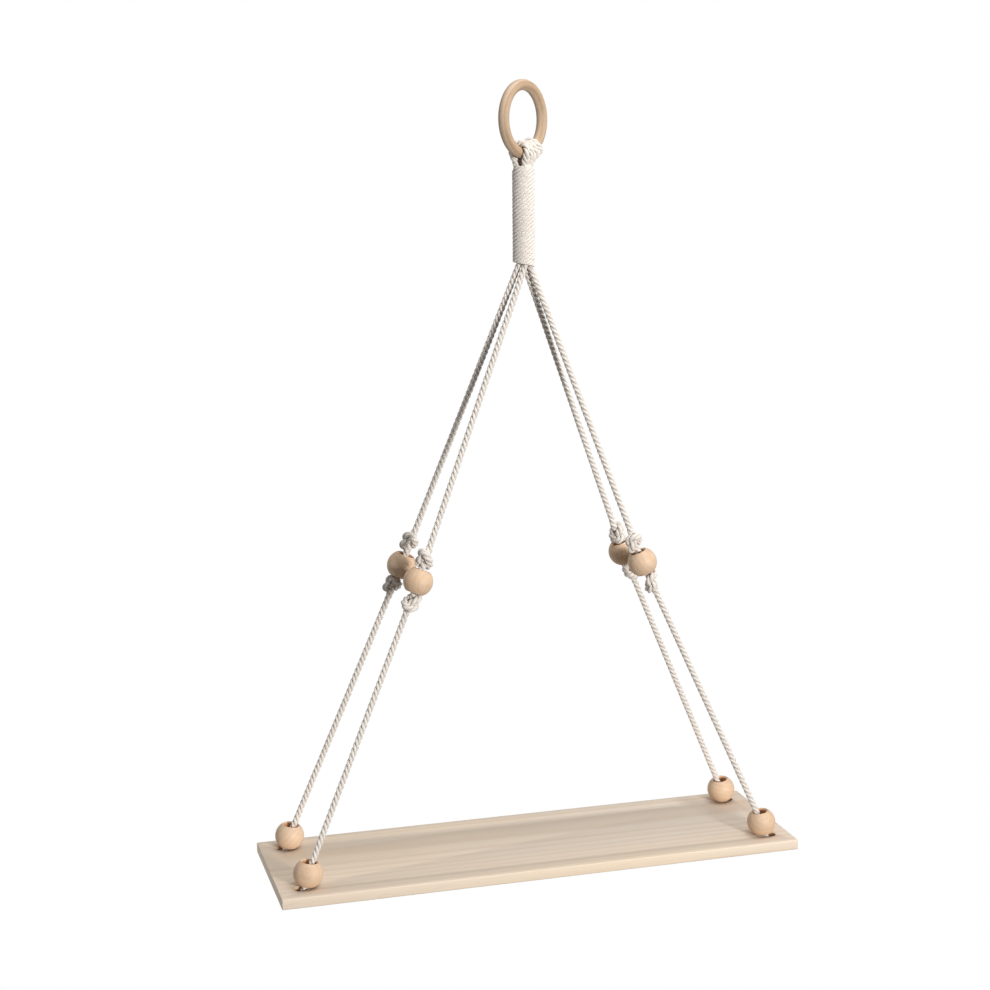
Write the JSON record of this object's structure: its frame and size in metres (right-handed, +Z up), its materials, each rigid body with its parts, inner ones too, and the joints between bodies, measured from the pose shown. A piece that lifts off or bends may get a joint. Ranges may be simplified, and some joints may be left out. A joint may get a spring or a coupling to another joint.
{
  "type": "hanging wall shelf",
  "caption": "hanging wall shelf: a pine board on white cotton cords with wooden beads and overhand knots, gathered in a bound neck under a wooden ring",
  "frame": {"origin": "inside of the ring at its top, where the nail or hook carries it", "axes": "+Z up, +X along the board, +Y toward the wall; the picture is taken from -Y, a little from the left"},
  "size_m": [0.457, 0.135, 0.67],
  "materials": {
    "pine": "sanded, unfinished",
    "beech": "turned and sanded, unfinished",
    "cotton": "natural three-strand cord"
  },
  "bodies": {
    "root": {"board": "pine", "ring": "beech", "bead_front_left": "beech", "bead_back_left": "beech", "bead_front_right": "beech", "bead_back_right": "beech", "board_bead_front_left": "beech", "board_bead_back_left": "beech", "board_bead_front_right": "beech", "board_bead_back_right": "beech", "cord_front_left": "cotton", "cord_back_left": "cotton", "cord_front_right": "cotton", "cord_back_right": "cotton", "binding": "cotton", "hitch": "cotton"}
  },
  "joints": []
}
